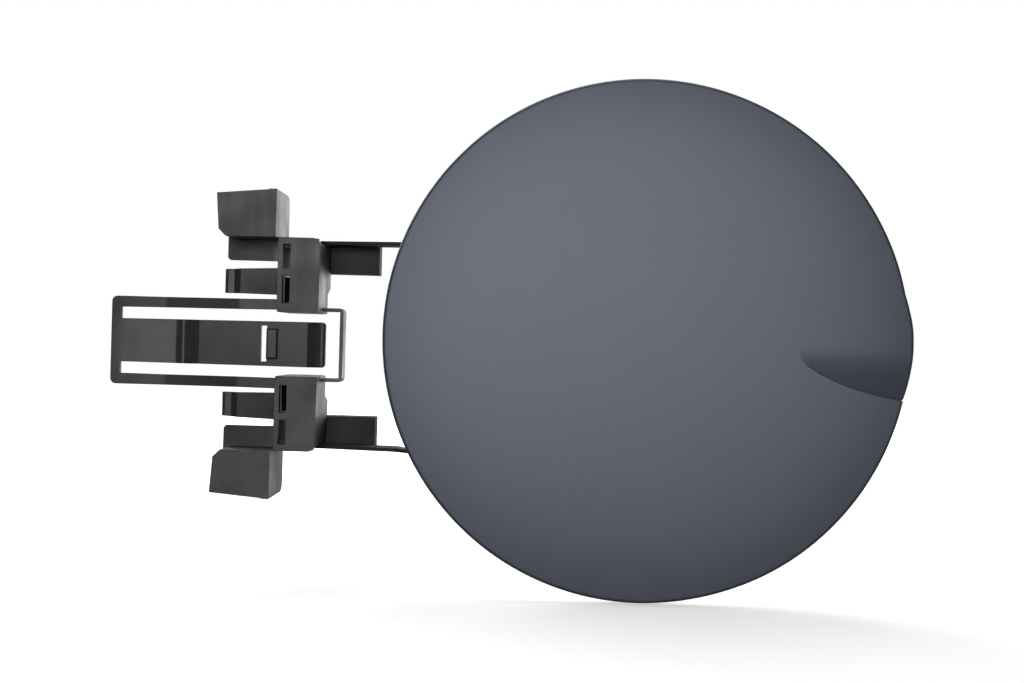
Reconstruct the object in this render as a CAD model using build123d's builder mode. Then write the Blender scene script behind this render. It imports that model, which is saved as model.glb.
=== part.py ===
# Car fuel door: a round flap on two hinge arms, carried by a moulded hinge base
# that clips into an opening at the side of the filler pocket.
#
# Millimetres. X points out of the car body, Y points behind the open flap and Z is
# up. The flap is drawn swung fully open. The origin lies on the plane where the
# hinge base seats on the body, level with the middle of the hinge. Whatever comes
# in an upper and a lower copy is mirrored about the plane Z = 0.

import os
from math import cos, radians, sin, sqrt

from build123d import *

os.makedirs("parts", exist_ok=True)

# Hinge line, parallel to Z
pivot_out = 10.4
pivot_back = 20.0
pin_radius = 1.5
pin_clearance = 0.05
pin_head_radius = 3.0
pin_head_height = 1.1
pin_end_inset = 0.2

# Flap skin
door_radius = 85.0
door_gap = 26.5
door_rise = 4.26
door_crown = 1.8
skin_wall = 2.0
rim_wall = 1.6
rim_depth = 8.0
rim_round = 1.3
rim_bevel_share = 0.35

# Finger scoop in the flap's free edge, with its grip lip
scoop_reach = 35.5
scoop_centre = 1.0
scoop_half_width = 17.0
scoop_length = 42.0
scoop_depth = 5.4
scoop_soft_side = 1.65
scoop_sections = (0.6, 6.0, 16.0, 30.0, 46.0)
scoop_steep_profile = ((0.0, 0.0), (0.05, 0.48), (0.13, 0.85), (0.26, 1.0), (0.42, 0.95))
scoop_soft_profile = ((0.6, 0.62), (0.78, 0.26), (0.92, 0.06), (1.0, 0.0))
scoop_headroom = 4.0
lip_overhang = 2.7
lip_low_inset = 0.6
lip_high = 30.0
lip_top = 0.0
lip_low_turn = 28.0
lip_blend = 9.0

# Ribbed inner panel behind the skin
panel_clearance = 0.4
panel_seat = 0.25
panel_wall = 1.8
rib_wall = 1.4
rib_height = 4.0
rib_pitch = 34.0
rib_clearance = 0.3
rib_count = 3
scoop_margin = 3.0

# Hinge base: the two hollow hinge blocks
block_left = 2.5
block_right = 16.05
block_inner = 10.4
block_outer = 32.8
block_back = 32.0
block_wall_inner = 2.2
block_wall_outer = 1.6
block_wall_side = 1.6
plate_wall = 2.5
plate_outer = 34.6
plate_corner = 2.3
plate_step_width = 1.7
plate_step_height = 1.1
slot_width = 2.4
slot_inner_low = 13.2
slot_inner_high = 22.2
slot_outer_low = 24.5
slot_outer_high = 32.4
side_notch_depth = 7.5
side_notch_low = 17.0
side_notch_high = 20.0
swing_clearance = 0.5

# Hinge base: stepped wings that grip the edge of the opening
wing_wall = 2.5
wing_plate = 2.0
wing_front = -6.0
wing_back = 23.4
wing_inner = 34.2
wing_outer = 49.6
wing_draft = 1.7
wing_reach = 16.6
wing_corner = 4.0
wing_nose = 2.2
step_front = 12.0
step_inner = 27.3
step_reach = 15.8
step_chamfer = 0.8

# Hinge base: snap fingers
finger_wall = 1.8
finger_front = 10.0
finger_inner = 16.1
finger_outer = 25.1
finger_taper_inner = 0.3
finger_taper_outer = 0.8
finger_reach = 16.7
finger_flat = 11.2
finger_drop = 2.2
finger_nose = 2.0
finger_hook = 3.4
finger_bend = 0.5

# Hinge base: frame loop and latch tongue
frame_wall = 2.2
frame_reach = 50.6
frame_bar = 3.0
frame_half_left = 14.2
frame_half_right = 14.65
frame_window_left = 10.7
frame_window_right = 11.2
frame_corner = 1.8
frame_ramp_start = 33.0
frame_ramp_end = 10.6
frame_drop = 6.0
tongue_wall = 2.0
tongue_half_root = 7.0
tongue_half_tip = 7.35
tongue_tip = 18.3
ridge_start = -29.6
ridge_width = 7.1
ridge_crest = 2.5
ridge_height = 1.7
tongue_drop = 1.6
tongue_lift = 1.9
dip_start = 12.8
dip_depth = 2.6
roll_radius = 1.15
tongue_slot_left = -2.3
tongue_slot_width = 1.9
tongue_slot_half = 5.8
tooth_length = 3.6
tooth_half = 4.9
tooth_height = 1.9
tooth_round = 0.7

# Hinge base: thin loop wall that joins the two blocks
loop_wall = 1.15
loop_right = 22.6
loop_half = 12.3
loop_front = 15.0
loop_back = 24.0
loop_corner = 1.5

# Hinge arms: one moulding, with webs, stop boxes and a screwed mounting plate
arm_wall = 1.2
arm_outer = 35.0
arm_joggle = 0.6
eye_radius = 6.5
journal_radius = 4.2
journal_clearance = 0.08
cam_flat = 3.0
cam_corner = 3.7
cam_end_gap = 0.3
shoulder_left = 3.2
arm_front_root = 22.0
arm_front_tip = 15.5
arm_strip_depth = 12.5
arm_strip_end = 41.0
stop_gap = 0.2
stop_left = 14.5
stop_right = 32.6
stop_inner = 24.5
stop_wall = 1.5
stop_depth = 9.8
mount_plate_wall = 1.6
mount_plate_left = 47.0
mount_plate_right = 84.0
mount_window_left = 59.0
mount_window_right = 76.0
mount_window_half = 15.0
mount_window_corner = 3.0
mount_flange_depth = 4.0
screw_out = 66.0
screw_half = 26.0

# Screws that hold the arms and the striker to the inner panel
screw_radius = 1.75
screw_bite = 0.15
screw_length = 5.6
screw_head_radius = 3.5
screw_head_height = 2.2
screw_hole_clearance = 0.25
boss_radius = 4.0
boss_height = 0.8

# Lock striker at the free side of the inner panel
striker_inset = 12.5
striker_plate_width = 12.0
striker_plate_height = 30.0
striker_plate_wall = 2.4
striker_screw_half = 10.5
striker_tongue_wall = 4.0
striker_tongue_width = 10.0
striker_reach = 20.0
striker_hole_radius = 2.6
striker_hole_edge = 6.0
striker_tip_round = 4.9
striker_gusset = 4.5

# Detent springs, one leaf in each hinge block
leaf_thickness = 0.5
leaf_gap = 0.1
leaf_side_gap = 0.4
leaf_front = 1.9
leaf_foot = 2.7
leaf_bend = 2.0

# Rubber bump stops, and the panel's moulded peg for the filler cap's tether
bump_inset = 16.0
bump_angle = 50.0
bump_radius = 5.0
bump_height = 9.0
bump_stem_radius = 2.2
bump_barb_radius = 2.9
bump_barb_length = 0.5
bump_stem_clearance = 0.1
peg_offset = 3.0
peg_radius = 3.0
peg_height = 9.0
peg_head_radius = 5.0
peg_head_height = 1.8

# Places worked out from the sizes above
door_x = pivot_out + door_gap + door_radius
door_z = door_rise
door_centre = (door_x, 0, door_z)
door_axis = Axis(door_centre, (0, 1, 0))
crown_radius = (door_radius**2 + door_crown**2) / (2 * door_crown)
web_inner = arm_outer - arm_wall
eye_outer = arm_outer - arm_joggle
eye_inner = eye_outer - arm_wall
cavity_inner = block_inner + block_wall_inner
cavity_outer = block_outer - block_wall_outer
cavity_left = block_left + block_wall_side
cavity_right = block_right - block_wall_side
stop_front = block_back + stop_gap
stop_back = stop_front + stop_depth
scoop_tip = door_radius - scoop_reach
lip_low = scoop_centre - scoop_half_width + lip_low_inset
panel_radius = door_radius - rim_wall - panel_clearance
panel_front = skin_wall - door_crown * (1 - (panel_radius / door_radius) ** 2) + panel_seat
panel_back = panel_front + panel_wall
rib_back = panel_back + rib_height
boss_back = rib_back + boss_height
mount_back = boss_back + mount_plate_wall


def facing(depth):
    """The plane square to Y at a depth. Its drawing is X across and Z up, and a
    negative extrude goes deeper."""
    return Plane.XZ.offset(-depth)


def door_facing(depth):
    """The same plane, drawn about the flap's centre."""
    return Plane(origin=(door_x, depth, door_z), x_dir=(1, 0, 0), z_dir=(0, -1, 0))


def on_pivot_circle(radius, x):
    """Depth of the point at x, behind the hinge line, on a circle about it."""
    return pivot_back + sqrt(radius**2 - (x - pivot_out) ** 2)


def save(sub_part, name):
    """Label a finished piece and write it."""
    sub_part.part.label = name
    export_step(sub_part.part, f"parts/{name}.step")


# Scoop cutter. Its sections lie square to the flap's radius through the scoop. Each
# has a steep side at the low crease, a floor, and a long soft side above.
def scoop_section(reach, grow):
    """Points (across, depth) of the scoop's floor at a distance from its tip."""
    share = min(reach / scoop_length, 1.0)
    half = scoop_half_width * sqrt(1 - (1 - share) ** 2)
    deep = scoop_depth * reach / scoop_reach
    low = scoop_centre - half
    high = scoop_centre + half * scoop_soft_side
    width = high - low
    level = -door_crown * (1 - ((scoop_tip + reach) / door_radius) ** 2)
    points = []
    for across, down in scoop_steep_profile + scoop_soft_profile:
        spread = grow * (2 * across - 1)
        points.append((low + across * width + spread, level + down * deep + grow))
    return points


def scoop_cutter(grow):
    """The solid that is taken out for the scoop, grown by a wall thickness."""
    ahead = door_crown + scoop_headroom
    with BuildPart() as cutter:
        for reach in scoop_sections:
            plane = Plane(
                origin=(door_x + scoop_tip + reach, 0, door_z),
                x_dir=(0, 0, 1),
                z_dir=(-1, 0, 0),
            )
            points = scoop_section(reach, grow)
            low, high = points[0][0], points[-1][0]
            with BuildSketch(plane):
                with BuildLine():
                    Spline(*points)
                    Polyline(points[-1], (high, -ahead), (low, -ahead), points[0])
                make_face()
        loft()
    return cutter.part


def lip_outline(inset):
    """The grip lip's lobe outside the flap's circle, drawn in by a wall. It leaves the
    circle in a corner below and runs back into it smoothly above."""
    radius = door_radius - inset
    low = Vector(sqrt(radius**2 - lip_low**2), lip_low)
    high = Vector(sqrt(radius**2 - lip_high**2), lip_high)
    tip = Vector(radius + lip_overhang, lip_top)
    leaving = Vector(-low.Y, low.X).rotate(Axis.Z, -lip_low_turn)
    with BuildSketch(door_facing(rim_depth)) as outline:
        with BuildLine():
            Spline(low, tip, high, tangents=(leaving, (-high.Y, high.X)))
            Polyline(high, (radius - lip_blend, 0), low)
        make_face()
    return outline.sketch


def flap_form(inset, wall, bevels):
    """The flap as a solid dish: crowned front, lip lobe and scoop. The bevels are
    (inwards, back) steps from the edge where the crown meets the rim."""
    radius = door_radius - inset
    front = wall - door_crown
    curve = crown_radius - wall
    edge_y = front + curve - sqrt(curve**2 - radius**2)
    edge_line = [(door_x + radius - inwards, edge_y + back) for inwards, back in bevels]
    with BuildPart() as form:
        with BuildSketch(Plane.XY.offset(door_z)):
            with BuildLine():
                Polyline(
                    (door_x, front - rim_round),
                    (edge_line[0][0], front - rim_round),
                    *edge_line,
                    (door_x + radius, rim_depth),
                    (door_x, rim_depth),
                    close=True,
                )
            make_face()
        revolve(axis=door_axis)
        with Locations((door_x, front + curve, door_z)):
            Sphere(curve, mode=Mode.INTERSECT)
        extrude(lip_outline(inset), amount=rim_depth - edge_y - rim_round)
        add(scoop_cutter(wall), mode=Mode.SUBTRACT)
    return form.part


# Flap skin: its outer form, hollowed by a core of the same form one wall smaller
rim_bevel = rim_round * rim_bevel_share
with BuildPart() as door_skin:
    add(flap_form(0, 0, ((rim_round, 0), (rim_bevel, rim_bevel), (0, rim_round))))
    add(flap_form(rim_wall, skin_wall, ((0, 0),)), mode=Mode.SUBTRACT)
save(door_skin, "door_skin")

# Inner panel: a ribbed plate behind the skin, with its bosses, cut clear of the scoop
arm_screws = [(screw_out, screw_half), (screw_out, -screw_half)]
striker_x = door_x + scoop_tip - striker_inset
striker_screws = [(striker_x, door_z + z) for z in (striker_screw_half, -striker_screw_half)]
bump_circle = door_radius - bump_inset
bump_places = [
    (door_x + bump_circle * cos(radians(a)), door_z + bump_circle * sin(radians(a)))
    for a in (bump_angle, -bump_angle)
]
peg_place = (door_x + peg_offset, door_z)
pilot_radius = screw_radius - screw_bite
bump_hole_radius = bump_stem_radius + bump_stem_clearance

with BuildPart() as inner_panel:
    with BuildSketch(door_facing(panel_front)):
        Circle(panel_radius)
    extrude(amount=-panel_wall)
    with BuildSketch(door_facing(panel_back)):
        Circle(panel_radius)
        Circle(panel_radius - rib_wall, mode=Mode.SUBTRACT)
    extrude(amount=-rib_height)
    with BuildSketch(door_facing(panel_back)):
        with GridLocations(rib_pitch, 0, rib_count, 1):
            Rectangle(rib_wall, 2 * panel_radius)
        with GridLocations(0, rib_pitch, 1, rib_count):
            Rectangle(2 * panel_radius, rib_wall)
        Circle(panel_radius - rib_wall / 2, mode=Mode.INTERSECT)
    extrude(amount=-rib_height)
    with BuildSketch(facing(panel_back)):
        with Locations(*(arm_screws + striker_screws)):
            Circle(boss_radius)
    extrude(amount=panel_back - boss_back)
    for radius, start, height in (
        (peg_radius, panel_back, rib_height + peg_height),
        (peg_head_radius, rib_back + peg_height, peg_head_height),
    ):
        with BuildSketch(facing(start)):
            with Locations(peg_place):
                Circle(radius)
        extrude(amount=-height)
    with BuildSketch(door_facing(panel_front)):
        with BuildLine():
            edge = door_radius + lip_overhang
            low = scoop_centre - scoop_half_width - scoop_margin
            high = scoop_centre + scoop_half_width * scoop_soft_side + scoop_margin
            start = scoop_tip - scoop_margin
            Polyline((edge, low), (start, low), (start, high), (edge, high), close=True)
        make_face()
    extrude(amount=panel_front - boss_back, mode=Mode.SUBTRACT)
    with Locations(*[(x, boss_back, z) for x, z in arm_screws + striker_screws]):
        Cylinder(
            pilot_radius,
            screw_length + screw_bite,
            rotation=(90, 0, 0),
            align=(Align.CENTER, Align.CENTER, Align.MIN),
            mode=Mode.SUBTRACT,
        )
    with BuildSketch(facing(panel_back)):
        with Locations(*bump_places):
            Circle(bump_radius + rib_clearance)
    extrude(amount=-rib_height, mode=Mode.SUBTRACT)
    with Locations(*[(x, 0, z) for x, z in bump_places]):
        Cylinder(bump_hole_radius, 2 * boss_back, rotation=(90, 0, 0), mode=Mode.SUBTRACT)
save(inner_panel, "inner_panel")

# Hinge base, upper half: the hollow block that holds one arm's pin and spring
sweep_radius = block_back - pivot_back + swing_clearance
left_back = on_pivot_circle(sweep_radius, block_left)
flat_start = pivot_out - sqrt(sweep_radius**2 - (block_back - pivot_back) ** 2)
corner_mid_x = (block_left + flat_start) / 2
corner_mid = (corner_mid_x, on_pivot_circle(sweep_radius, corner_mid_x))

with BuildPart() as half_base:
    with BuildSketch(facing(0)):
        with BuildLine():
            Polyline(
                (block_left, block_inner + plate_step_height),
                (block_left + plate_step_width, block_inner),
                (block_right, block_inner),
                (block_right, plate_outer),
                (block_left, plate_outer),
                close=True,
            )
        make_face()
    extrude(amount=-plate_wall)
    corner = edges().filter_by(Axis.Y).sort_by(Axis.X)[-2:].sort_by(Axis.Z)[-1]
    fillet(corner, radius=plate_corner)
    with BuildSketch(Plane.XY.offset(block_inner)):
        with BuildLine():
            Line((block_left, plate_wall / 2), (block_left, left_back))
            ThreePointArc((block_left, left_back), corner_mid, (flat_start, block_back))
            Polyline(
                (flat_start, block_back),
                (block_right, block_back),
                (block_right, plate_wall / 2),
                (block_left, plate_wall / 2),
            )
        make_face()
    extrude(amount=block_outer - block_inner)
    with BuildSketch(Plane.XY.offset(cavity_inner)):
        with BuildLine():
            Polyline(
                (cavity_left, plate_wall),
                (cavity_right, plate_wall),
                (cavity_right, block_back + plate_wall),
                (cavity_left, block_back + plate_wall),
                close=True,
            )
        make_face()
    extrude(amount=cavity_outer - cavity_inner, mode=Mode.SUBTRACT)
    with BuildSketch(facing(0)):
        for low, high in ((slot_inner_low, slot_inner_high), (slot_outer_low, slot_outer_high)):
            with Locations((cavity_left + slot_width / 2, (low + high) / 2)):
                Rectangle(slot_width, high - low)
    extrude(amount=-plate_wall, mode=Mode.SUBTRACT)
    with BuildSketch(Plane.YZ.offset(cavity_right)):
        with BuildLine():
            Polyline(
                (block_back - side_notch_depth, block_inner),
                (block_back - side_notch_depth, side_notch_low),
                (block_back + plate_wall, side_notch_high),
                (block_back + plate_wall, block_inner),
                close=True,
            )
        make_face()
    extrude(amount=block_wall_side, mode=Mode.SUBTRACT)
    with Locations((pivot_out, pivot_back, cavity_outer)):
        Cylinder(
            journal_radius + journal_clearance,
            2 * block_wall_outer,
            mode=Mode.SUBTRACT,
        )
    with Locations((pivot_out, pivot_back, block_inner)):
        Cylinder(pin_radius, 3 * block_wall_inner, mode=Mode.SUBTRACT)

    # Wing: front plate, riser, step plate and side wall
    with BuildSketch(facing(wing_front)):
        with BuildLine():
            Polyline(
                (block_left, wing_inner),
                (block_left, wing_outer),
                (-wing_reach, wing_outer - wing_draft),
                (-step_reach, wing_inner + wing_nose),
                (-step_reach + wing_nose, wing_inner),
                close=True,
            )
        make_face()
    extrude(amount=-wing_plate)
    with BuildSketch(Plane.XY.offset(wing_inner)):
        with BuildLine():
            Polyline(
                (block_left, wing_front),
                (-step_reach + wing_nose, wing_front),
                (-step_reach + wing_nose, step_front),
                (-step_reach, step_front + wing_plate),
                (block_left, step_front + wing_plate),
                close=True,
            )
        make_face()
    extrude(amount=wing_plate)
    with BuildSketch(facing(step_front)):
        with BuildLine():
            Polyline(
                (block_left, step_inner),
                (-step_reach + step_chamfer, step_inner),
                (-step_reach, step_inner + step_chamfer),
                (-step_reach, wing_inner + wing_plate),
                (block_left, wing_inner + wing_plate),
                close=True,
            )
        make_face()
    extrude(amount=-wing_plate)
    with BuildSketch(Plane.YZ.offset(block_left - wing_wall)):
        with BuildLine():
            Polyline(
                (wing_front, wing_inner),
                (wing_front, wing_outer),
                (wing_back, wing_outer),
                (wing_back, step_inner),
                (step_front, step_inner),
                (step_front, wing_inner),
                close=True,
            )
        make_face()
        fillet(vertices().sort_by(lambda v: v.X + v.Y)[-1], radius=wing_corner)
    extrude(amount=wing_wall)

# Snap finger, tapered towards its hooked end
finger_hook_back = finger_front + finger_drop + finger_hook
with BuildPart() as finger:
    with BuildSketch(Plane.XY.offset(finger_inner)):
        with BuildLine():
            Polyline(
                (block_left + block_wall_side / 2, finger_front),
                (-finger_flat, finger_front),
                (-finger_flat - finger_drop, finger_front + finger_drop),
                (-finger_reach + finger_nose / 2, finger_front + finger_drop),
                (-finger_reach, finger_front + finger_drop + finger_nose / 2),
                (-finger_reach, finger_hook_back),
                (-finger_reach + finger_wall, finger_hook_back),
                (-finger_reach + finger_wall, finger_front + finger_drop + finger_wall),
                (-finger_flat - finger_drop, finger_front + finger_drop + finger_wall),
                (-finger_flat, finger_front + finger_wall),
                (block_left + block_wall_side / 2, finger_front + finger_wall),
                close=True,
            )
        make_face()
    extrude(amount=finger_outer - finger_inner)
    bend_places = (
        (-finger_flat, finger_front, finger_inner),
        (-finger_flat - finger_drop, finger_front + finger_drop, finger_inner),
        (-finger_flat, finger_front + finger_wall, finger_inner),
        (-finger_reach + finger_nose / 2, finger_front + finger_drop, finger_inner),
        (-finger_reach, finger_front + finger_drop + finger_nose / 2, finger_inner),
    )
    upright = edges().filter_by(Axis.Z)
    fillet([upright.sort_by_distance(place)[0] for place in bend_places], radius=finger_bend)
    with BuildSketch(facing(finger_front)):
        with BuildLine():
            Polyline(
                (block_left + block_wall_side, finger_inner),
                (-finger_reach, finger_inner + finger_taper_inner),
                (-finger_reach, finger_outer - finger_taper_outer),
                (block_left + block_wall_side, finger_outer),
                close=True,
            )
        make_face()
    extrude(amount=-(finger_drop + finger_hook), mode=Mode.INTERSECT)

# Frame loop: flat at its far end, then ramped back to the blocks
with BuildPart() as frame_loop:
    with BuildSketch(Plane.XY.offset(-frame_half_right)):
        with BuildLine():
            ahead = (
                (-frame_reach, 0),
                (-frame_ramp_start, 0),
                (-frame_ramp_end, frame_drop),
                (block_left + block_wall_side / 2, frame_drop),
            )
            behind = [(x, y + frame_wall) for x, y in reversed(ahead)]
            Polyline(*ahead, *behind, close=True)
        make_face()
    extrude(amount=2 * frame_half_right)
    with BuildSketch(facing(0)):
        with BuildLine():
            Polyline(
                (-frame_reach, -frame_half_left),
                (-frame_reach, frame_half_left),
                (-frame_ramp_start, frame_half_left),
                (block_left + block_wall_side, frame_half_right),
                (block_left + block_wall_side, -frame_half_right),
                (-frame_ramp_start, -frame_half_left),
                close=True,
            )
        make_face()
        fillet(vertices().group_by(Axis.X)[0], radius=frame_corner)
        with BuildLine():
            Polyline(
                (-frame_reach + frame_bar, -frame_window_left),
                (-frame_reach + frame_bar, frame_window_left),
                (block_left + block_wall_side, frame_window_right),
                (block_left + block_wall_side, -frame_window_right),
                close=True,
            )
        make_face(mode=Mode.SUBTRACT)
    extrude(amount=-(frame_drop + frame_wall), mode=Mode.INTERSECT)

# Latch tongue: cross ridge, release slot, raised tooth, dip and rolled end
ridge_top = ridge_start + ridge_crest
ridge_end = ridge_start + ridge_width
tongue_root = -frame_reach + frame_bar / 2
with BuildPart() as tongue:
    with BuildSketch(Plane.XY.offset(-tongue_half_tip)):
        with BuildLine():
            lift_at_dip = tongue_drop - tongue_lift
            ahead = (
                (tongue_root, 0),
                (ridge_start, 0),
                (ridge_top, -ridge_height),
                (ridge_end, tongue_drop),
                (dip_start, lift_at_dip),
                (tongue_tip - 2 * roll_radius, lift_at_dip + dip_depth),
                (tongue_tip, lift_at_dip),
            )
            behind = (
                (tongue_tip, lift_at_dip + dip_depth + tongue_wall),
                (dip_start, lift_at_dip + tongue_wall),
                (ridge_end, tongue_drop + tongue_wall),
                (ridge_top, tongue_wall - ridge_height),
                (ridge_start, tongue_wall),
                (tongue_root, tongue_wall),
            )
            Polyline(*ahead, *behind, close=True)
        make_face()
    extrude(amount=2 * tongue_half_tip)
    crest = edges().filter_by(Axis.Z).sort_by_distance((ridge_top, -ridge_height, 0))[0]
    nose = edges().filter_by(Axis.Z).sort_by_distance((tongue_tip, lift_at_dip, 0))[0]
    fillet([crest, nose], radius=roll_radius)
    with BuildSketch(facing(-ridge_height)):
        with BuildLine():
            Polyline(
                (tongue_root, -tongue_half_root),
                (tongue_root, tongue_half_root),
                (tongue_tip, tongue_half_tip),
                (tongue_tip, -tongue_half_tip),
                close=True,
            )
        make_face()
        fillet(vertices().group_by(Axis.X)[-1], radius=roll_radius)
        with Locations((tongue_slot_left + tongue_slot_width / 2, 0)):
            Rectangle(tongue_slot_width, 2 * tongue_slot_half, mode=Mode.SUBTRACT)
    extrude(amount=-(2 * ridge_height + dip_depth + 2 * tongue_wall), mode=Mode.INTERSECT)

tooth_left = tongue_slot_left + tongue_slot_width
with BuildPart() as tooth:
    with Locations((tooth_left + tooth_length / 2, tongue_wall / 2 - tooth_height / 2, 0)):
        Box(tooth_length, tooth_height + tongue_wall / 2, 2 * tooth_half)
    fillet(edges().group_by(Axis.Y)[0], radius=tooth_round)

# Loop wall: a thin U band standing behind the tongue's end
with BuildPart() as loop_band:
    with BuildSketch(facing(loop_front)):
        with BuildLine():
            loop_left = block_right - block_wall_side / 2
            Polyline(
                (loop_left, -loop_half),
                (loop_right, -loop_half),
                (loop_right, loop_half),
                (loop_left, loop_half),
                close=True,
            )
        make_face()
        fillet(vertices().group_by(Axis.X)[-1], radius=loop_corner)
        with BuildLine():
            Polyline(
                (loop_left, -loop_half + loop_wall),
                (loop_right - loop_wall, -loop_half + loop_wall),
                (loop_right - loop_wall, loop_half - loop_wall),
                (loop_left, loop_half - loop_wall),
                close=True,
            )
        make_face(mode=Mode.SUBTRACT)
    extrude(amount=loop_front - loop_back)

# Hinge base: one moulding
with BuildPart() as hinge_base:
    add(half_base.part)
    add(finger.part)
    mirror(about=Plane.XY)
    add(frame_loop.part)
    add(tongue.part)
    add(tooth.part)
    add(loop_band.part)
save(hinge_base, "hinge_base")

# Hinge arm, upper half: the eye, the journal and cam that turn in the block, the web
# and the stop box that meets the back of the block when the flap is open
shoulder_x = pivot_out + shoulder_left
strip_back = arm_front_tip + arm_strip_depth
box_back_start = pivot_back + eye_radius + arm_wall

with BuildPart() as stop_box:
    with BuildSketch(facing(stop_front)):
        with BuildLine():
            Polyline(
                (stop_left, stop_inner),
                (stop_right, stop_inner),
                (stop_right, web_inner + arm_wall / 2),
                (stop_left, web_inner + arm_wall / 2),
                close=True,
            )
        make_face()
    extrude(amount=-stop_depth)
    with BuildSketch(facing(stop_front + stop_wall)):
        with BuildLine():
            Polyline(
                (stop_left + stop_wall, stop_inner + stop_wall),
                (stop_right - stop_wall, stop_inner + stop_wall),
                (stop_right - stop_wall, web_inner),
                (stop_left + stop_wall, web_inner),
                close=True,
            )
        make_face()
    extrude(amount=-stop_depth, mode=Mode.SUBTRACT)

with BuildPart() as half_arm:
    with BuildSketch(Plane.XY.offset(web_inner)):
        with BuildLine():
            Polyline(
                (shoulder_x, arm_front_root),
                (shoulder_x + 2 * arm_wall, arm_front_root),
                (arm_strip_end, arm_front_tip),
                (mount_plate_left, boss_back),
                (mount_plate_right, boss_back),
                (mount_plate_right, mount_back),
                (mount_plate_left, mount_back + mount_flange_depth),
                (arm_strip_end, strip_back),
                (stop_right, strip_back + arm_wall),
                (stop_right, stop_back),
                (stop_left, stop_back),
                (stop_left, box_back_start),
                (shoulder_x, pivot_back + eye_radius),
                close=True,
            )
        make_face()
    extrude(amount=arm_wall)
    with BuildSketch(Plane.XY.offset(eye_inner)):
        with Locations((pivot_out, pivot_back)):
            Circle(eye_radius)
        with BuildLine():
            Polyline(
                (pivot_out, pivot_back - eye_radius),
                (shoulder_x + 2 * arm_wall, arm_front_root),
                (shoulder_x + 2 * arm_wall, pivot_back + eye_radius),
                (pivot_out, pivot_back + eye_radius),
                close=True,
            )
        make_face()
    extrude(amount=arm_wall)
    with BuildSketch(Plane.XY.offset(cavity_outer)):
        with Locations((pivot_out, pivot_back)):
            Circle(journal_radius)
    extrude(amount=eye_inner - cavity_outer)
    with BuildSketch(Plane.XY.offset(cavity_inner + cam_end_gap)):
        with Locations((pivot_out, pivot_back)):
            Circle(cam_corner)
            Rectangle(2 * cam_flat, 2 * cam_flat, mode=Mode.INTERSECT)
    extrude(amount=cavity_outer - cavity_inner - cam_end_gap)
    with BuildSketch(Plane.XY.offset(cavity_inner)):
        with Locations((pivot_out, pivot_back)):
            Circle(pin_radius + pin_clearance)
    extrude(amount=arm_outer - cavity_inner, mode=Mode.SUBTRACT)
    add(stop_box.part)

# Hinge arms: both halves on the mounting plate that is screwed to the inner panel
with BuildPart() as hinge_arms:
    add(half_arm.part)
    mirror(about=Plane.XY)
    with BuildSketch(facing(boss_back)):
        with BuildLine():
            Polyline(
                (mount_plate_left, -arm_outer),
                (mount_plate_right, -arm_outer),
                (mount_plate_right, arm_outer),
                (mount_plate_left, arm_outer),
                close=True,
            )
        make_face()
        with Locations(((mount_window_left + mount_window_right) / 2, 0)):
            RectangleRounded(
                mount_window_right - mount_window_left,
                2 * mount_window_half,
                mount_window_corner,
                mode=Mode.SUBTRACT,
            )
        with Locations(*arm_screws):
            Circle(screw_radius + screw_hole_clearance, mode=Mode.SUBTRACT)
    extrude(amount=-mount_plate_wall)
save(hinge_arms, "hinge_arms")

# Hinge pins: pressed into the inner wall of each block, headed outside the arm
for name, side in (("upper_hinge_pin", 1), ("lower_hinge_pin", -1)):
    with BuildPart() as hinge_pin:
        with BuildSketch(Plane.XY.offset(side * (block_inner + pin_end_inset))):
            with Locations((pivot_out, pivot_back)):
                Circle(pin_radius)
        extrude(amount=side * (eye_outer + pin_clearance - block_inner - pin_end_inset))
        with BuildSketch(Plane.XY.offset(side * (eye_outer + pin_clearance))):
            with Locations((pivot_out, pivot_back)):
                Circle(pin_head_radius)
        extrude(amount=side * pin_head_height)
    save(hinge_pin, name)

# Detent springs: a bent steel leaf in each block that presses on the arm's cam
leaf_wall_x = cavity_left + leaf_gap + leaf_thickness / 2
leaf_flat_x = pivot_out - cam_flat - leaf_gap - leaf_thickness / 2
leaf_low = slot_inner_low + leaf_side_gap
leaf_height = slot_inner_high - slot_inner_low - 2 * leaf_side_gap
for name, side in (("upper_detent_spring", 1), ("lower_detent_spring", -1)):
    with BuildPart() as detent_spring:
        with BuildSketch(Plane.XY.offset(side * leaf_low)):
            with BuildLine() as leaf_line:
                FilletPolyline(
                    (leaf_wall_x, leaf_front),
                    (leaf_wall_x, plate_wall + leaf_foot),
                    (leaf_flat_x, pivot_back - cam_flat - leaf_foot),
                    (leaf_flat_x, pivot_back + cam_flat + leaf_thickness),
                    (leaf_wall_x, left_back - leaf_bend),
                    radius=leaf_bend,
                )
            trace(line_width=leaf_thickness)
        extrude(amount=side * leaf_height)
    save(detent_spring, name)

# Screws: hexagon heads, threads left plain
striker_seat = boss_back + striker_plate_wall
screw_places = (
    ("upper_arm_screw", arm_screws[0], mount_back),
    ("lower_arm_screw", arm_screws[1], mount_back),
    ("upper_striker_screw", striker_screws[0], striker_seat),
    ("lower_striker_screw", striker_screws[1], striker_seat),
)
for name, (x, z), seat in screw_places:
    with BuildPart() as screw:
        with BuildSketch(facing(seat)):
            with Locations((x, z)):
                RegularPolygon(screw_head_radius, 6)
        extrude(amount=-screw_head_height)
        with BuildSketch(facing(seat)):
            with Locations((x, z)):
                Circle(screw_radius)
        extrude(amount=seat - boss_back + screw_length)
    save(screw, name)

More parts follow.
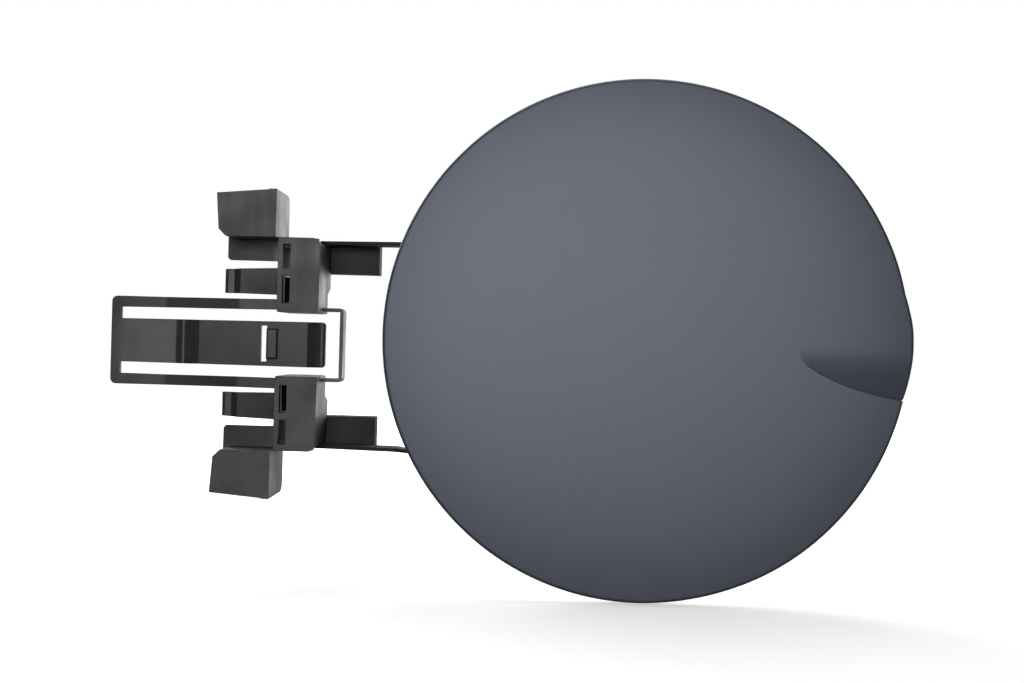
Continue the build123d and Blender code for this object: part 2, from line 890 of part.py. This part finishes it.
# Lock striker: a screwed foot with a tongue whose hole takes the lock's pin
striker_back = boss_back + striker_reach
with BuildPart() as lock_striker:
    with BuildSketch(facing(boss_back)):
        with Locations((striker_x, door_z)):
            Rectangle(striker_plate_width, striker_plate_height)
        with Locations(*striker_screws):
            Circle(screw_radius + screw_hole_clearance, mode=Mode.SUBTRACT)
    extrude(amount=-striker_plate_wall)
    with BuildSketch(Plane.XY.offset(door_z - striker_tongue_wall / 2)):
        with BuildLine():
            Polyline(
                (striker_x - striker_tongue_width / 2, boss_back),
                (striker_x + striker_tongue_width / 2, boss_back),
                (striker_x + striker_tongue_width / 2, striker_back),
                (striker_x - striker_tongue_width / 2, striker_back),
                close=True,
            )
        make_face()
        fillet(vertices().group_by(Axis.Y)[-1], radius=striker_tip_round)
        with Locations((striker_x, striker_back - striker_hole_edge)):
            Circle(striker_hole_radius, mode=Mode.SUBTRACT)
    extrude(amount=striker_tongue_wall)
    with BuildSketch(Plane.YZ.offset(striker_x - striker_tongue_wall / 2)):
        with BuildLine():
            Polyline(
                (striker_seat, door_z - striker_tongue_wall / 2 - striker_gusset),
                (striker_seat + striker_gusset, door_z),
                (striker_seat, door_z + striker_tongue_wall / 2 + striker_gusset),
                close=True,
            )
        make_face()
    extrude(amount=striker_tongue_wall)
save(lock_striker, "lock_striker")

# Bump stops: pushed through the inner panel, held by a barb
barb_front = panel_front - bump_barb_length
for name, (x, z) in zip(("upper_bump_stop", "lower_bump_stop"), bump_places):
    with BuildPart() as bump_stop:
        with BuildSketch(Plane.XY.offset(z)):
            with BuildLine():
                Polyline(
                    (x, panel_back),
                    (x, barb_front),
                    (x + bump_stem_radius, barb_front),
                    (x + bump_barb_radius, panel_front),
                    (x + bump_stem_radius, panel_front),
                    (x + bump_stem_radius, panel_back),
                    close=True,
                )
            make_face()
        revolve(axis=Axis((x, 0, z), (0, 1, 0)))
        with BuildSketch(facing(panel_back)):
            with Locations((x, z)):
                Circle(bump_radius)
        extrude(amount=-bump_height)
    save(bump_stop, name)
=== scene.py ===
import math

import bmesh
import bpy
import numpy as np
from mathutils import Matrix, Vector


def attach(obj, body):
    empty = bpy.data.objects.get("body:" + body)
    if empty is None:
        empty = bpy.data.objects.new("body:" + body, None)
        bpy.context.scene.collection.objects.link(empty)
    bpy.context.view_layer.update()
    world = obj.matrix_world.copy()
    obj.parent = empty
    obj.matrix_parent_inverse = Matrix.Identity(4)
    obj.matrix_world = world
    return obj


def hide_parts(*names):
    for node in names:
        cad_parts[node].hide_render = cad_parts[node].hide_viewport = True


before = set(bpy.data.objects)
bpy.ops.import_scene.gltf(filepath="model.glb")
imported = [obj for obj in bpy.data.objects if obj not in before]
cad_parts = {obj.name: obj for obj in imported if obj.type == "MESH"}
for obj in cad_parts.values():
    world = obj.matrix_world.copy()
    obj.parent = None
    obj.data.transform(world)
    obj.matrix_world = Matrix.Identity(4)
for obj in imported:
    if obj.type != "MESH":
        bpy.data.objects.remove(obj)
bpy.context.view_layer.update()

MM = 0.001

# All lengths are in millimetres. The flap's centre, walls and rim are the CAD's. The radius is
# 0.05 mm under the CAD's, so that the skin stays inside the solids' box
DOOR_X, DOOR_Z = 121.9, 4.26
RADIUS = 84.95
CROWN = 1.8
WALL = 2.0
RIM_WALL = 1.6
RIM_DEPTH = 8.0
RIM_ROUND = 1.3

# The front is nearly flat in the middle, bends more upwards than across, as a car's side does,
# and falls away towards its edge
FRONT_TOP = 2.4
FALL_UP = 1.1
EDGE_FALL = 1.5

# The scoop, measured from the flap's centre: the crisp crease along its low side (across, up),
# and how deep the surface has dived at a height, from the crease up to the level part. It
# starts at a distance across and fades in from there. The crease's wall is STEP_WIDTH wide
CREASE = (
    (48.8, -1.2), (50.4, -5.0), (54.3, -8.2), (58.3, -10.3), (62.2, -11.95), (66.1, -13.35),
    (70.0, -14.5), (73.9, -15.4), (77.8, -16.2), (81.7, -16.8), (90.0, -17.6),
)
DIVE = (
    (-18.0, 3.60), (-16.5, 3.20), (-14.4, 2.63), (-12.4, 2.10), (-10.5, 1.61), (-8.6, 1.14),
    (-6.6, 0.71), (-4.7, 0.37), (-2.7, 0.13), (-0.8, 0.03), (2.0, 0.0), (6.0, 0.0),
)
SCOOP_START = 46.5
SCOOP_FADE = 9.0
STEP_WIDTH = 0.22

# The grip lip: how far the edge stands out beyond the circle (height, out)
LIP = (
    (-83.0, 0.0), (-72.0, 0.4), (-48.0, 0.6), (-24.0, 0.7), (-18.7, 0.7), (-17.0, 0.72),
    (-16.7, 1.38), (-15.5, 1.5), (-13.0, 1.65), (-8.4, 1.8), (-0.6, 1.97), (4.6, 1.95),
    (8.4, 1.7), (12.3, 1.23), (14.9, 0.92), (17.5, 0.6), (27.8, 0.55), (42.0, 0.35),
    (60.0, 0.2), (83.0, 0.0),
)

# The skin's mesh. Its spokes are dense around the scoop: from where, which place there is
# stretched onto the crease, and up to where, in degrees
SECTOR = (-14.0, -11.0, 25.0)
LOW_SPOKES, SCOOP_SPOKES, OTHER_SPOKES = 18, 120, 360
# Its rings run from the middle to where the scoop can start, on to the edge, over the rim's
# round, down the wall (as shares of it), over the rim's end, and back along the inner side
MIDDLE = 0.6
PLAIN_RADIUS = 44.0
PLAIN_RINGS, FRONT_RINGS, ROUND_RINGS, BACK_RINGS = 12, 103, 8, 13
BACK_PLAIN_RINGS = (30.0, 16.0, MIDDLE)
RIM_WALL_RINGS = (0.15, 0.5, 0.93)
RIM_EASE = 0.12
# At the rim's end: how far in from the wall, and how far short of the rim's depth
RIM_END = ((RIM_EASE, 0.02), (0.35, 0.0), (RIM_WALL - 0.2, 0.0), (RIM_WALL, RIM_EASE))
# The straight wall that is left under the lip at the least, and how deep the back may reach
SHORTEST_RIM = 0.3
BACK_LIMIT = RIM_DEPTH - 0.35


def smooth(t):
    """0 to 1 with a soft start and a soft end."""
    t = np.clip(t, 0.0, 1.0)
    return t * t * (3 - 2 * t)


def curve_through(at, points):
    """Cubic through the points, without overshoot, and held beyond its ends."""
    xs, ys = np.array(points).T
    steps = np.diff(ys) / np.diff(xs)
    slopes = np.zeros(len(xs))
    for i in range(1, len(xs) - 1):
        a, b = steps[i - 1], steps[i]
        slopes[i] = 0.0 if a * b <= 0 else 2 * a * b / (a + b)
    slopes[0], slopes[-1] = steps[0], steps[-1]
    at = np.clip(at, xs[0], xs[-1])
    k = np.clip(np.searchsorted(xs, at) - 1, 0, len(xs) - 2)
    h = xs[k + 1] - xs[k]
    t = (at - xs[k]) / h
    return (
        (2 * t**3 - 3 * t**2 + 1) * ys[k]
        + (t**3 - 2 * t**2 + t) * h * slopes[k]
        + (-2 * t**3 + 3 * t**2) * ys[k + 1]
        + (t**3 - t**2) * h * slopes[k + 1]
    )


def scoop(dx, dz):
    """Depth of the scoop above its crease, measured from the flap's centre."""
    return curve_through(dz, DIVE) * smooth((dx - SCOOP_START) / SCOOP_FADE)


def front(dx, dz, above):
    """Depth of the flap's front. Points above the crease follow the scoop."""
    across, up = dx**2 / RADIUS**2, dz**2 / RADIUS**2
    fall = FALL_UP * up + EDGE_FALL * (across + up) ** 3
    return fall - FRONT_TOP + above * scoop(dx, dz)


def inner(dx, dz, above):
    """Depth of the flap's inner side, where the CAD has it, with the scoop pressed through."""
    share = (dx**2 + dz**2) / RADIUS**2
    return WALL - CROWN * (1 - share) + above * scoop(dx, dz)


def ring_mesh(rings, sharp_rings, sharp_spokes):
    """A smooth closed mesh over rings of points, with a fan in the first and the last ring
    and sharp edges along some spokes between the sharp rings."""
    count = len(rings[0])
    bm = bmesh.new()
    verts = [bm.verts.new(point) for point in np.concatenate(rings) * MM]
    for start in range(0, len(verts) - count, count):
        for i in range(count):
            k = (i + 1) % count
            corners = (start + i, start + k, start + count + k, start + count + i)
            bm.faces.new([verts[c] for c in corners])
    for j in sharp_rings:
        for i in sharp_spokes:
            along = (verts[j * count + i], verts[(j + 1) * count + i])
            bm.edges.get(along).smooth = False
    caps = [bm.faces.new(cap) for cap in (verts[:count], verts[-count:])]
    bmesh.ops.poke(bm, faces=caps)
    bmesh.ops.recalc_face_normals(bm, faces=bm.faces)
    for face in bm.faces:
        face.smooth = True
    mesh = bpy.data.meshes.new("flap_skin")
    bm.to_mesh(mesh)
    bm.free()
    return mesh


def flap_skin():
    """The skin in rings from the middle of the front, over the rim, to the back. One of
    its spokes follows the crease and the next one starts the scoop."""
    first, turned, last = np.radians(SECTOR)
    low_spokes = np.linspace(first, turned, LOW_SPOKES)
    scoop_spokes = np.linspace(turned, last, SCOOP_SPOKES)
    other_spokes = np.linspace(last, first + 2 * math.pi, OTHER_SPOKES + 2)[1:-1]
    above = np.repeat([0.0, 1.0, 0.0], [LOW_SPOKES, SCOOP_SPOKES, OTHER_SPOKES])
    out, up = np.array(CREASE).T
    crease_turn = list(zip(np.hypot(out, up), np.arctan2(up, out)))
    rings = []

    def spokes(radius):
        """Directions of all spokes on the ring that crosses the crease at this radius."""
        crease = curve_through(radius, crease_turn)
        start = crease + STEP_WIDTH / radius
        low = first + (low_spokes - first) * (crease - first) / (turned - first)
        high = start + (scoop_spokes - turned) * (last - start) / (last - turned)
        turn = np.concatenate([low, high, other_spokes])
        return np.cos(turn), np.sin(turn)

    def between(reach, share):
        """A radius between the plain middle and the reach."""
        return PLAIN_RADIUS + (reach - PLAIN_RADIUS) * share

    def ring(radius, depth):
        """Adds a ring along the current spokes."""
        place = np.broadcast_arrays(DOOR_X + radius * cx, depth, DOOR_Z + radius * cz)
        rings.append(np.stack(place, axis=1))

    for r in np.linspace(MIDDLE, PLAIN_RADIUS, PLAIN_RINGS):
        cx, cz = spokes(r)
        ring(r, front(r * cx, r * cz, above))
    for share in np.linspace(0, 1, FRONT_RINGS + 1)[1:]:
        cx, cz = spokes(between(RADIUS - RIM_ROUND, share))
        lobe = np.where(cx > 0, curve_through(RADIUS * cz, LIP), 0.0)
        edge = RADIUS + lobe - RIM_ROUND
        r = between(edge, share)
        ring(r, front(r * cx, r * cz, above))

    round_top = np.minimum(
        front(edge * cx, edge * cz, above), RIM_DEPTH - RIM_ROUND - SHORTEST_RIM
    )
    for a in np.radians(np.linspace(0, 90, ROUND_RINGS + 1))[1:]:
        ring(edge + RIM_ROUND * math.sin(a), round_top + RIM_ROUND * (1 - math.cos(a)))
    outer = edge + RIM_ROUND
    wall_top = round_top + RIM_ROUND
    for share in RIM_WALL_RINGS:
        ring(outer, wall_top + (RIM_DEPTH - wall_top) * share)
    for inset, short in RIM_END:
        ring(outer - inset, RIM_DEPTH - short)

    inside = outer - RIM_WALL
    behind = np.minimum(inner(inside * cx, inside * cz, above), BACK_LIMIT)
    ring(inside, behind + (RIM_DEPTH - RIM_EASE - behind) * 0.4)
    ring(inside, behind)
    for share in np.linspace(1, 0, BACK_RINGS + 1)[1:]:
        cx, cz = spokes(between(RADIUS - RIM_ROUND, share))
        r = between(inside, share)
        ring(r, np.minimum(inner(r * cx, r * cz, above), BACK_LIMIT))
    for r in BACK_PLAIN_RINGS:
        ring(r, inner(r * cx, r * cz, above))

    creased = range(PLAIN_RINGS, PLAIN_RINGS + FRONT_RINGS + ROUND_RINGS - 1)
    mesh = ring_mesh(rings, creased, (LOW_SPOKES - 1, LOW_SPOKES))
    obj = bpy.data.objects.new("flap_skin", mesh)
    bpy.context.scene.collection.objects.link(obj)
    return obj


# Building blocks of the materials. Noise scales are per metre
def empty_tree(owner):
    """The owner's node tree with nothing in it."""
    owner.use_nodes = True
    owner.node_tree.nodes.clear()
    return owner.node_tree


def node(tree, kind, inputs, **settings):
    """A new node. Each input is given a number, three numbers or another node's output."""
    made = tree.nodes.new(kind)
    for key, value in settings.items():
        setattr(made, key, value)
    for key, value in inputs.items():
        socket = made.inputs[key]
        if isinstance(value, bpy.types.NodeSocket):
            tree.links.new(value, socket)
        else:
            socket.default_value = (*value, 1) if socket.type == "RGBA" else value
    return made


def calc(tree, operation, *values):
    return node(
        tree, "ShaderNodeMath", dict(enumerate(values)), operation=operation
    ).outputs[0]


def here(tree):
    """The place in the piece's own coordinates, in metres."""
    return node(tree, "ShaderNodeTexCoord", {}).outputs["Object"]


def stretched(tree, coords, scale):
    return node(
        tree, "ShaderNodeMapping", {"Vector": coords, "Scale": scale}
    ).outputs["Vector"]


def noise(tree, coords, scale, detail):
    made = node(
        tree,
        "ShaderNodeTexNoise",
        {"Vector": coords, "Scale": scale, "Detail": detail, "Roughness": 0.55},
    )
    return made.outputs["Fac"]


def ramp(tree, source, low, high, a, b):
    """From a to b while the source goes from low to high, and held beyond."""
    made = node(
        tree,
        "ShaderNodeMapRange",
        {"Value": source, "From Min": low, "From Max": high, "To Min": a, "To Max": b},
    )
    return made.outputs["Result"]


def mix_colour(tree, factor, a, b):
    return node(
        tree, "ShaderNodeMix", {0: factor, 6: a, 7: b}, data_type="RGBA"
    ).outputs[2]


def zone(tree, coords, low, high, soft=1.0):
    """1 inside a box on both sides of the middle plane, 0 outside, with soft edges in mm."""
    split = node(tree, "ShaderNodeSeparateXYZ", {0: coords}).outputs
    axes = (split["X"], split["Y"], calc(tree, "ABSOLUTE", split["Z"]))
    inside = 1.0
    for source, a, b in zip(axes, low, high):
        for place, before, after in ((a, 0, 1), (b, 1, 0)):
            start, end = (place - soft / 2) * MM, (place + soft / 2) * MM
            step = ramp(tree, source, start, end, before, after)
            inside = calc(tree, "MULTIPLY", inside, step)
    return inside


def eased_edges(tree, radius):
    return node(
        tree, "ShaderNodeBevel", {"Radius": radius * MM}, samples=4
    ).outputs["Normal"]


def bumped(tree, height, strength, distance, normal=None):
    """The normal with a bump on it. The distance is in metres."""
    made = node(
        tree,
        "ShaderNodeBump",
        {"Height": height, "Strength": strength, "Distance": distance},
    )
    if normal is not None:
        tree.links.new(normal, made.inputs["Normal"])
    return made.outputs["Normal"]


def surface(mat, tree, inputs):
    """Ends the material with a Principled shader."""
    bsdf = node(tree, "ShaderNodeBsdfPrincipled", inputs)
    node(tree, "ShaderNodeOutputMaterial", {"Surface": bsdf.outputs["BSDF"]})
    return mat


# Materials
def moulded(
    name, dark, pale, rough, grain=0.10, edge=0.3, specular=0.5, spread=0.05, matt=(), painted_highlights=()
):
    """Moulded plastic: mottled colour and gloss, flow streaks, fine grain and soft edges, with a
    paler colour painted in given boxes as a painted highlight.
    """
    mat = bpy.data.materials.new(name)
    tree = empty_tree(mat)
    coords = here(tree)
    streaks = noise(tree, stretched(tree, coords, (900.0, 900.0, 60.0)), 1.0, 2.0)
    cloud = noise(tree, coords, 90.0, 4.0)
    patches = noise(tree, coords, 55.0, 2.0)
    fine = noise(tree, coords, 2600.0, 2.0)
    mottle = calc(tree, "MULTIPLY_ADD", streaks, 0.6, cloud)
    colour = mix_colour(tree, ramp(tree, mottle, 0.6, 1.0, 0, 1), dark, pale)
    # A paler colour painted in each given box: a painted highlight
    for low, high, highlight_tone in painted_highlights:
        colour = mix_colour(tree, zone(tree, coords, low, high, 4.0), colour, highlight_tone)
    gloss = calc(tree, "MULTIPLY_ADD", streaks, 0.35, patches)
    roughness = ramp(tree, gloss, 0.45, 0.90, rough - spread, rough + spread)
    for low, high, extra in matt:
        dull = zone(tree, coords, low, high)
        roughness = calc(tree, "MULTIPLY_ADD", dull, extra, roughness)
    inputs = {
        "Base Color": colour,
        "Roughness": roughness,
        "Specular IOR Level": specular,
        "Specular Tint": (0.92, 0.93, 1.0),
        "Normal": bumped(tree, fine, grain, 0.00012, eased_edges(tree, edge)),
    }
    return surface(mat, tree, inputs)


def primed_skin():
    """Satin primer: very even, with a faint mottle, slight orange peel and a fine dust grain."""
    mat = bpy.data.materials.new("primer")
    tree = empty_tree(mat)
    coords = here(tree)
    cloud = noise(tree, coords, 26.0, 3.0)
    dust = noise(tree, coords, 3800.0, 2.0)
    peel = noise(tree, coords, 700.0, 2.0)
    mottle = ramp(tree, cloud, 0.3, 0.7, 0, 1)
    wavy = bumped(tree, peel, 0.006, 0.0001)
    inputs = {
        "Base Color": mix_colour(tree, mottle, (0.022, 0.025, 0.032), (0.025, 0.028, 0.036)),
        "Roughness": ramp(tree, peel, 0.3, 0.7, 0.52, 0.54),
        "Specular IOR Level": 0.86,
        "Specular Tint": (0.76, 0.83, 1.0),
        "Normal": bumped(tree, dust, 0.02, 0.00005, wavy),
    }
    return surface(mat, tree, inputs)


def metal(name, colour, rough, streak, rim=1.0):
    """Plated or blued steel with drawn streaks along the hinge line. A low rim keeps it dark
    at grazing angles."""
    mat = bpy.data.materials.new(name)
    tree = empty_tree(mat)
    coords = here(tree)
    lines = noise(tree, stretched(tree, coords, (900.0, 900.0, streak)), 1.0, 3.0)
    spots = ramp(tree, noise(tree, coords, 300.0, 4.0), 0.35, 0.65, 0, 1)
    inputs = {
        "Base Color": mix_colour(tree, spots, [c * 0.82 for c in colour], colour),
        "Metallic": 1.0,
        "Roughness": ramp(tree, lines, 0.3, 0.7, rough - 0.06, rough + 0.08),
        "Specular Tint": (rim, rim, rim),
        "Normal": bumped(tree, lines, 0.12, 0.00003, eased_edges(tree, 0.12)),
    }
    return surface(mat, tree, inputs)


# Where the mould is etched dull (from, to, added roughness), and where a paler colour is painted
# on the tongue's root as a painted highlight (from, to, colour), in the CAD's frame and mirrored
# to the lower half
DULL = (
    ((-33.0, -1.0, 10.0), (-10.6, 9.0, 15.5), 0.24),
    ((-16.5, 11.0, 26.5), (-0.5, 15.0, 34.5), 0.10),
    ((-11.5, 9.0, 15.5), (2.0, 12.5, 25.5), 0.12),
    ((3.6, 2.2, 24.0), (7.5, 31.0, 33.5), 0.30),
)
# A painted highlight: the tongue's root painted paler
PAINTED_HIGHLIGHT = (((-48.0, -1.0, -1.0), (-30.5, 1.0, 7.8), (0.066, 0.067, 0.071)),)

base_plastic = moulded(
    "base_plastic",
    dark=(0.009, 0.009, 0.0105),
    pale=(0.019, 0.019, 0.0215),
    rough=0.50,
    specular=0.35,
    spread=0.10,
    matt=DULL,
    painted_highlights=PAINTED_HIGHLIGHT,
)
arm_plastic = moulded(
    "arm_plastic",
    dark=(0.007, 0.007, 0.008),
    pale=(0.010, 0.010, 0.011),
    rough=0.72,
    specular=0.32,
)
panel_plastic = moulded(
    "panel_plastic",
    dark=(0.018, 0.018, 0.020),
    pale=(0.024, 0.024, 0.026),
    rough=0.50,
    grain=0.2,
)
stop_rubber = moulded(
    "stop_rubber",
    dark=(0.012, 0.012, 0.012),
    pale=(0.018, 0.018, 0.018),
    rough=0.75,
    grain=0.35,
    edge=0.4,
    specular=0.3,
)
zinc = metal("zinc", (0.54, 0.54, 0.56), rough=0.42, streak=60.0)
blued = metal("blued", (0.045, 0.044, 0.042), rough=0.55, streak=30.0, rim=0.35)
primer = primed_skin()

# The material of every node, by a word in its name
BY_WORD = {
    "hinge_base": base_plastic,
    "hinge_arms": arm_plastic,
    "inner_panel": panel_plastic,
    "lock_striker": panel_plastic,
    "door_skin": primer,
    "detent_spring": blued,
    "bump_stop": stop_rubber,
    "hinge_pin": zinc,
    "screw": zinc,
}
for name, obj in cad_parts.items():
    mat = next(BY_WORD[word] for word in BY_WORD if word in name)
    if not obj.material_slots:
        obj.data.materials.append(mat)
    for slot in obj.material_slots:
        slot.material = mat

skin = flap_skin()
skin.data.materials.append(primer)
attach(skin, "flap")
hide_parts("door_skin")

# Camera at the photograph's place: 500 mm in front of the flap, rolled a little
CAMERA_PLACE = (0.0789, -0.5, 0.0029)
CAMERA_LENS = 54.39
CAMERA_ROLL = math.radians(1.6)

scene = bpy.context.scene
cam_data = bpy.data.cameras.new("camera")
cam_data.sensor_width = 36.0
cam_data.lens = CAMERA_LENS
cam = bpy.data.objects.new("camera", cam_data)
scene.collection.objects.link(cam)
right = Vector((math.cos(CAMERA_ROLL), 0, math.sin(CAMERA_ROLL)))
up = Vector((-math.sin(CAMERA_ROLL), 0, math.cos(CAMERA_ROLL)))
back = Vector((0, -1, 0))
turned = Matrix((right, up, back)).transposed()
cam.matrix_world = Matrix.Translation(CAMERA_PLACE) @ turned.to_4x4()
scene.camera = cam
scene.view_settings.view_transform = "Standard"


# Studio: pale floor, white surroundings behind the part and soft lights
def by_ray(tree, lit, mirrored, seen):
    """What plain light, glossy rays and straight views of the camera get to see."""
    path = node(tree, "ShaderNodeLightPath", {}).outputs
    straight = calc(tree, "MAXIMUM", path["Is Camera Ray"], path["Is Transmission Ray"])
    others = node(
        tree, "ShaderNodeMixShader", {0: path["Is Glossy Ray"], 1: lit, 2: mirrored}
    )
    return node(
        tree, "ShaderNodeMixShader", {0: straight, 1: others.outputs[0], 2: seen}
    ).outputs[0]


def shining(tree, kind, colour, strength):
    """A plain emission or world background."""
    return node(tree, kind, {"Color": colour, "Strength": strength}).outputs[0]


WHITE = (1, 1, 1)
WARM = (1.0, 0.98, 0.95)

# The world lights and is mirrored from behind the part (+Y), and the camera sees it white
world = bpy.data.worlds.new("studio")
scene.world = world
tree = empty_tree(world)
towards = node(tree, "ShaderNodeTexCoord", {}).outputs["Generated"]
behind = node(tree, "ShaderNodeSeparateXYZ", {0: towards}).outputs["Y"]
light = ramp(tree, behind, 0.80, 0.97, 0.05, 0.62)
gleam = ramp(tree, behind, 0.72, 0.93, 0.05, 1.0)
lit = shining(tree, "ShaderNodeBackground", WARM, light)
mirrored = shining(tree, "ShaderNodeBackground", WARM, gleam)
seen = shining(tree, "ShaderNodeBackground", WHITE, 1.0)
node(tree, "ShaderNodeOutputWorld", {"Surface": by_ray(tree, lit, mirrored, seen)})

# The floor lies just under the flap. To the camera it glows up to white away from the part,
# and near the part the light on it does the rest, so that it keeps the part's shadow
FLOOR_HALF = 3.0
FLOOR_Z = -0.0815
corners = ((-1, -1), (1, -1), (1, 1), (-1, 1))
floor_mesh = bpy.data.meshes.new("floor")
floor_mesh.from_pydata(
    [(x * FLOOR_HALF, y * FLOOR_HALF, FLOOR_Z) for x, y in corners], [], [(0, 1, 2, 3)]
)
floor = bpy.data.objects.new("floor", floor_mesh)
scene.collection.objects.link(floor)
floor_mat = bpy.data.materials.new("floor_white")
tree = empty_tree(floor_mat)
place = here(tree)
behind = node(tree, "ShaderNodeSeparateXYZ", {0: place}).outputs["Y"]
away = node(tree, "ShaderNodeVectorMath", {0: place}, operation="LENGTH").outputs["Value"]
gleam = ramp(tree, behind, 0.0, 0.5, 0.05, 1.0)
glow = ramp(tree, away, 0.25, 0.60, 0.45, 1.0)
lit = node(tree, "ShaderNodeBsdfDiffuse", {"Color": (0.30, 0.30, 0.30)}).outputs[0]
mirrored = shining(tree, "ShaderNodeEmission", WHITE, gleam)
glowing = shining(tree, "ShaderNodeEmission", WHITE, glow)
pale = node(tree, "ShaderNodeBsdfDiffuse", {"Color": (0.80, 0.80, 0.80)}).outputs[0]
seen = node(tree, "ShaderNodeAddShader", {0: glowing, 1: pale}).outputs[0]
node(tree, "ShaderNodeOutputMaterial", {"Surface": by_ray(tree, lit, mirrored, seen)})
floor_mesh.materials.append(floor_mat)


def area_light(name, place, target, size, watts, colour=WHITE):
    data = bpy.data.lights.new(name, "AREA")
    data.shape = "RECTANGLE"
    data.size, data.size_y = size
    data.energy = watts
    data.color = colour
    lamp = bpy.data.objects.new(name, data)
    scene.collection.objects.link(lamp)
    lamp.location = place
    aim = Vector(target) - Vector(place)
    lamp.rotation_mode = "QUATERNION"
    lamp.rotation_quaternion = aim.to_track_quat("-Z", "Y")


# The key light is the photo's, close above the camera. The others keep all sides readable
area_light("key", (0.070, -1.1, 0.148), (0.08, 0, 0), (0.50, 0.28), 10.5, (1.0, 0.99, 0.98))
area_light("fill", (-0.75, -0.80, 0.15), (0.02, 0, 0), (0.9, 0.9), 1.2)
area_light("back", (-0.70, 0.95, 0.55), (0.06, 0, 0), (0.9, 0.9), 13.0)
area_light("top", (0.06, 0.25, 1.20), (0.06, 0.03, 0), (0.9, 0.9), 8.0)
area_light("rim", (0.45, 1.20, 0.10), (0.08, 0, 0), (0.7, 0.9), 4.6, (1.0, 0.975, 0.94))
